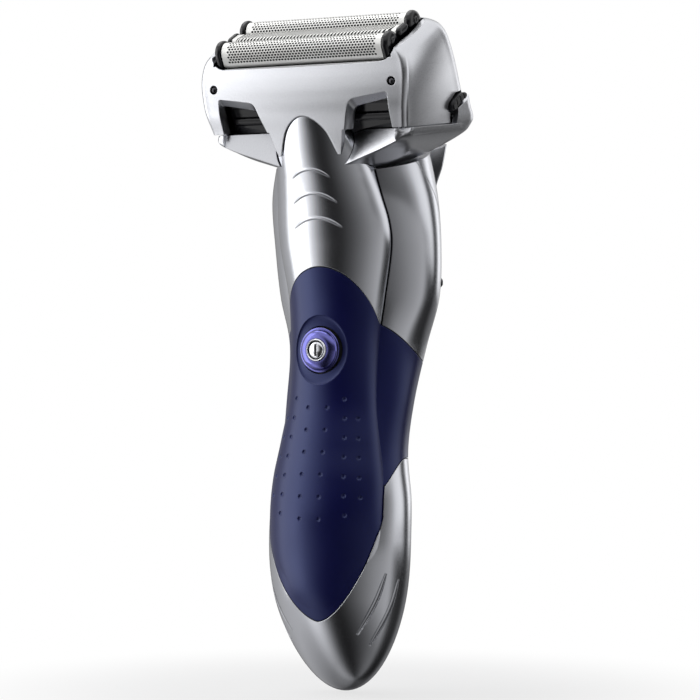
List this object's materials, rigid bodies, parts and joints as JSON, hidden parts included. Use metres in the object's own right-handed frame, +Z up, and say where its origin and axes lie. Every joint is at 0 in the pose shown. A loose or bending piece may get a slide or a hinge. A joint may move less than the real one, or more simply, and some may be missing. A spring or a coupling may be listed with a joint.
{
  "type": "electric shaver",
  "caption": "Foil shaver with a forward-leaning head, perforated and slit foils on a lift-off frame, a waisted soft-grip handle, a front power button and a pop-up trimmer.",
  "frame": {"origin": "middle of the hand grip, on the midline, 62 mm above the foot of the handle", "axes": "+Z up the handle towards the foils, -Y to the front where the power button is, +X to the right seen from the front of the shaver, square to its left-right mirror plane"},
  "size_m": [0.055, 0.0457, 0.1575],
  "materials": {
    "silver_shell": "satin metallic silver",
    "silver_head": "satin metallic silver",
    "soft_grip": "navy soft-touch rubber",
    "casing": "matt dark grey",
    "black_plastic": "satin black",
    "black_gloss": "gloss black",
    "button_blue": "metallic blue-violet",
    "chrome_trim": "bright chrome",
    "board": "green laminate",
    "cell_wrap": "green shrink sleeve",
    "contact_metal": "bright brass",
    "motor_can": "plated steel can",
    "boot_rubber": "matt black rubber",
    "blade_steel": "ground steel",
    "dark_steel": "blackened steel",
    "foil_steel": "bright foil"
  },
  "bodies": {
    "handle": {"front_shell": "silver_shell", "nose_panel": "silver_shell", "front_grip": "soft_grip", "rear_shell": "silver_shell", "rear_grip": "soft_grip", "bottom_cap": "silver_shell", "inner_case": "casing", "chassis": "casing", "circuit_board": "board", "push_switch": "black_plastic", "rechargeable_cell": "cell_wrap", "cell_strap_low": "contact_metal", "cell_strap_top": "contact_metal", "motor": "motor_can", "power_socket": "black_plastic", "socket_pin_left": "contact_metal", "socket_pin_right": "contact_metal", "drive_boot": "boot_rubber", "head_tray": "silver_head", "head_block": "black_gloss", "seam_screw_left": "dark_steel", "seam_screw_right": "dark_steel"},
    "motor_rotor": {"motor_shaft": "contact_metal"},
    "drive": {"blade_drive": "casing"},
    "front_blade": {"front_inner_blade": "blade_steel"},
    "centre_blade": {"centre_inner_blade": "blade_steel"},
    "rear_blade": {"rear_inner_blade": "blade_steel"},
    "frame": {"foil_frame": "silver_head", "frame_pin_left": "dark_steel", "frame_pin_right": "dark_steel", "foil_cassette": "black_gloss"},
    "front_foil_unit": {"front_foil": "foil_steel", "front_foil_cap_left": "black_gloss", "front_foil_cap_right": "black_gloss"},
    "slit_foil_unit": {"slit_foil": "foil_steel"},
    "rear_foil_unit": {"rear_foil": "foil_steel", "rear_foil_cap_left": "black_gloss", "rear_foil_cap_right": "black_gloss"},
    "button": {"power_button": "button_blue", "button_badge": "chrome_trim"},
    "release_left": {"release_button_left": "black_plastic"},
    "release_right": {"release_button_right": "black_plastic"},
    "trimmer": {"trimmer_slide": "silver_head"},
    "trimmer_blade": {"trimmer_cutter": "blade_steel"}
  },
  "joints": [
    {"name": "motor_spin", "type": "hinge", "parent": "handle", "child": "motor_rotor", "pos_m": [0, 0.00426, 0.048], "axis": [0, 0, 1], "continuous": true},
    {"name": "blade_stroke", "type": "slide", "parent": "handle", "child": "drive", "axis": [1, 0, 0], "range_m": [-0.0007, 0.0007]},
    {"name": "front_blade_float", "type": "slide", "parent": "drive", "child": "front_blade", "axis": [0, 0.4695, -0.8829], "range_m": [0, 0.001]},
    {"name": "centre_blade_float", "type": "slide", "parent": "drive", "child": "centre_blade", "axis": [0, 0.4695, -0.8829], "range_m": [0, 0.001]},
    {"name": "rear_blade_float", "type": "slide", "parent": "drive", "child": "rear_blade", "axis": [0, 0.4695, -0.8829], "range_m": [0, 0.001]},
    {"name": "frame_lift", "type": "slide", "parent": "handle", "child": "frame", "axis": [0, -0.4695, 0.8829], "range_m": [0, 0.014]},
    {"name": "front_foil_float", "type": "slide", "parent": "frame", "child": "front_foil_unit", "axis": [0, 0.4695, -0.8829], "range_m": [0, 0.001], "stiffness_N_per_m": 800, "springref_m": -0.0002},
    {"name": "slit_foil_float", "type": "slide", "parent": "frame", "child": "slit_foil_unit", "axis": [0, 0.4695, -0.8829], "range_m": [0, 0.001], "stiffness_N_per_m": 800, "springref_m": -0.0002},
    {"name": "rear_foil_float", "type": "slide", "parent": "frame", "child": "rear_foil_unit", "axis": [0, 0.4695, -0.8829], "range_m": [0, 0.001], "stiffness_N_per_m": 800, "springref_m": -0.0002},
    {"name": "power_press", "type": "slide", "parent": "handle", "child": "button", "axis": [0, 1, 0], "range_m": [0, 0.0008], "stiffness_N_per_m": 1800, "springref_m": -0.0002},
    {"name": "release_press_left", "type": "slide", "parent": "frame", "child": "release_left", "axis": [1, 0, 0], "range_m": [0, 0.001], "stiffness_N_per_m": 1200, "springref_m": -0.0002},
    {"name": "release_press_right", "type": "slide", "parent": "frame", "child": "release_right", "axis": [-1, 0, 0], "range_m": [0, 0.001], "stiffness_N_per_m": 1200, "springref_m": -0.0002},
    {"name": "trimmer_raise", "type": "slide", "parent": "handle", "child": "trimmer", "axis": [0, 0.0738, 0.9973], "range_m": [0, 0.008]},
    {"name": "trimmer_stroke", "type": "slide", "parent": "trimmer", "child": "trimmer_blade", "axis": [1, 0, 0], "range_m": [-0.0007, 0.0007]}
  ],
  "couplings": [
    {"joint": "front_blade_float", "follows": "front_foil_float", "ratio": 1},
    {"joint": "centre_blade_float", "follows": "slit_foil_float", "ratio": 1},
    {"joint": "rear_blade_float", "follows": "rear_foil_float", "ratio": 1},
    {"joint": "trimmer_stroke", "follows": "blade_stroke", "ratio": 1}
  ]
}
